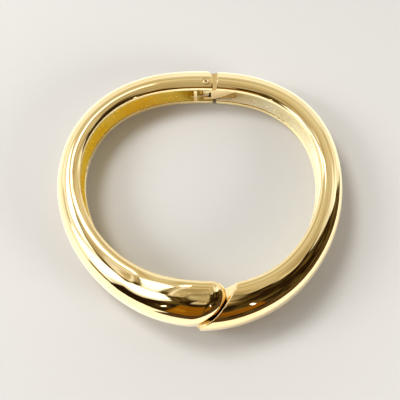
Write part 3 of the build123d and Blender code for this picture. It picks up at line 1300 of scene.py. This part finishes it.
@dataclass
class Studio:
    """Pale table, soft surroundings, lamps and the camera."""

    ground: float  # height of the table top, in metres
    base: Colour = (0.03, 0.017, 0.007)
    room: Colour = (0.15, 0.115, 0.05)
    fold_shade: Colour = (0.74, 0.71, 0.64)
    fold_light: Colour = (1.14, 1.16, 1.20)
    fold_spread: tuple[float, float] = (0.022, 0.12)  # how fast the tent's folds change round it and up it
    table: Colour = (0.54, 0.525, 0.50)
    table_half: float = 2.0  # metres
    table_roughness: float = 0.7
    # Painted reflection: the table's colour in glossy rays only, paler than it is, and painted dark in its
    # far part to the right and in front.
    painted_reflection: Colour = (0.93, 0.97, 1.0)
    painted_dark_reflection: Colour = (0.06, 0.035, 0.015)
    painted_dark_azimuth: tuple[float, float] = (145.0, 68.0)  # middle and half width of the table's painted dark reflection
    painted_dark_reach: tuple[float, float] = (2.0, 1.936)  # middle and half depth of it, in metres from the bangle
    aim: tuple[float, float, float] = (-0.19, -0.38, 0.0)  # millimetres, as is the distance
    distance: float = 153.9
    elevation: float = 68.04
    azimuth: float = -0.727
    roll: float = -3.741
    lens: float = 54.69

    def build(self) -> None:
        """Put up the whole studio."""
        walls = make_wall_group()
        self.surroundings(walls)
        self.floor(walls)
        for lamp in LAMPS:
            lamp.put_up()
        self.camera()

    def surroundings(self, walls: Group) -> None:
        """Soft studio dome: bright tent at the left and back, dark room to the right and front.

        Args:
            walls: The mask that every part of the dome is drawn with.
        """
        world = bpy.data.worlds.new("studio")
        bpy.context.scene.world = world
        world.use_nodes = True
        nodes = Nodes(world.node_tree)
        way = nodes.add("ShaderNodeSeparateXYZ")
        nodes.link(nodes.add("ShaderNodeTexCoord").outputs["Generated"], way.inputs[0])
        azimuth = nodes.math("DEGREES", nodes.math("ARCTAN2", way.outputs["X"], way.outputs["Y"]))
        elevation = nodes.math("DEGREES", nodes.math("ARCSINE", way.outputs["Z"]))
        clutter = nodes.noise(nodes.add("ShaderNodeTexCoord").outputs["Generated"], 3.4, detail=5, rough=0.62)
        colour: object = nodes.blend(nodes.ramp(clutter, 0.42, 0.66), self.base, self.room)
        for wall in WALLS:
            mask = walls.place(nodes, Azimuth=azimuth, Elevation=elevation, Middle_Azimuth=wall.azimuth,
                               Middle_Elevation=wall.elevation, Half_Width=wall.half_width,
                               Half_Height=wall.half_height, Edge=wall.edge)
            colour = nodes.blend(mask.outputs["Mask"], colour, wall.colour)
        folds = nodes.add("ShaderNodeCombineXYZ")
        nodes.link(nodes.math("MULTIPLY", azimuth, self.fold_spread[0]), folds.inputs["X"])
        nodes.link(nodes.math("MULTIPLY", elevation, self.fold_spread[1]), folds.inputs["Y"])
        fold = nodes.ramp(nodes.noise(folds.outputs[0], 1.0, detail=4, rough=0.55), 0.34, 0.66)
        shade = nodes.blend(fold, self.fold_shade, self.fold_light)
        colour = nodes.blend(1.0, colour, shade, "MULTIPLY")
        background = world.node_tree.nodes["Background"]
        nodes.link(colour, background.inputs["Color"])

    def floor(self, walls: Group) -> None:
        """Plain pale table top; in the metal it shows a painted pale reflection, dark to the right and in
        front.

        Args:
            walls: The mask that the painted dark reflection is drawn with.
        """
        half, z = self.table_half, self.ground
        corners = [(-half, -half, z), (half, -half, z), (half, half, z), (-half, half, z)]
        floor = mesh_object("floor", np.array(corners) / MM, [(0, 1, 2, 3)], [0])
        material = bpy.data.materials.new("table_top")
        material.use_nodes = True
        shader = material.node_tree.nodes["Principled BSDF"]
        shader.inputs["Roughness"].default_value = self.table_roughness
        nodes = Nodes(material.node_tree)
        place = nodes.add("ShaderNodeSeparateXYZ")
        nodes.link(nodes.add("ShaderNodeTexCoord").outputs["Object"], place.inputs[0])
        azimuth = nodes.math("DEGREES", nodes.math("ARCTAN2", place.outputs["X"], place.outputs["Y"]))
        reach = nodes.math("SQRT", nodes.math("ADD", nodes.math("POWER", place.outputs["X"], 2.0),
                                      nodes.math("POWER", place.outputs["Y"], 2.0)))
        far = walls.place(nodes, Azimuth=azimuth, Elevation=reach, Middle_Azimuth=self.painted_dark_azimuth[0],
                          Middle_Elevation=self.painted_dark_reach[0], Half_Width=self.painted_dark_azimuth[1],
                          Half_Height=self.painted_dark_reach[1], Edge=0.002)
        # Painted reflection: glossy rays see the table paler and dark far off to the right and in front;
        # other rays see its plain colour.
        seen_in_metal = nodes.add("ShaderNodeLightPath").outputs["Is Glossy Ray"]
        painted_reflection = nodes.blend(far.outputs["Mask"], self.painted_reflection, self.painted_dark_reflection)
        nodes.link(nodes.blend(seen_in_metal, self.table, painted_reflection), shader.inputs["Base Color"])
        floor.data.materials.append(material)

    def camera(self) -> None:
        """Camera above the viewer's side of the table, tilted a little."""
        rise, turn, roll = (math.radians(v) for v in (self.elevation, self.azimuth, self.roll))
        away = Vector((math.sin(turn) * math.cos(rise), -math.cos(turn) * math.cos(rise), math.sin(rise)))
        right = (-away).cross(Vector((0, 0, 1))).normalized()
        up = right.cross(-away)
        tilted_right = right * math.cos(roll) + up * math.sin(roll)
        tilted_up = up * math.cos(roll) - right * math.sin(roll)
        data = bpy.data.cameras.new("camera")
        data.lens = self.lens
        data.sensor_width = 36
        data.clip_start = 0.005
        camera = bpy.data.objects.new("camera", data)
        rotation = Matrix((tilted_right, tilted_up, away)).transposed().to_4x4()
        camera.matrix_world = Matrix.Translation((Vector(self.aim) + away * self.distance) * MM) @ rotation
        bpy.context.scene.collection.objects.link(camera)
        bpy.context.scene.camera = camera
        bpy.context.scene.view_settings.view_transform = "Standard"
        bpy.context.scene.view_settings.look = "Medium High Contrast"


def report(piece: bpy.types.Object) -> None:
    """Log a finished piece."""
    LOG.info("%s: %d faces", piece.name, len(piece.data.polygons))


def main() -> None:
    """Build, dress and report every piece."""
    logging.basicConfig(level=logging.INFO, format="%(name)s: %(message)s")
    hinge = Hinge(*(v / MM for v in frame["joints"][0]["pos_m"]))
    shared = Finishers.make()
    outside, lips = POLISHED.build(shared), FILED.build(shared)
    # The right hollow gets the paler copy of the cast finish, which is painted light.
    hollows = {Side.LEFT: CAST.build(shared), Side.RIGHT: CAST_PAINTED_LIGHT.build(shared)}
    for side in Side:
        casting = Casting(Band(side), hinge, Lap(), f"{side.value}_half")
        arm = casting.build()
        casting.dress(arm, (outside, hollows[side], lips))
        report(arm)
    rivet = Rivet(hinge)
    low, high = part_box("hinge_pin")
    pin = rivet.build(low.z / MM, high.z / MM)
    rivet.dress(pin, RIVET.build(shared))
    report(pin)
    spring = Spring(hinge)
    wire = spring.build()
    spring.dress(wire, WIRE.build(shared))
    report(wire)
    fitting = FITTING.build(shared)
    for node in ("hinge_knuckle", "spring_anchor_plate"):
        dress(frame["nodes"][node], "hinge_fittings", fitting)
        report(frame["nodes"][node])
    Studio(CAD_BOX[0].z).build()


if __name__ == "__main__":
    main()
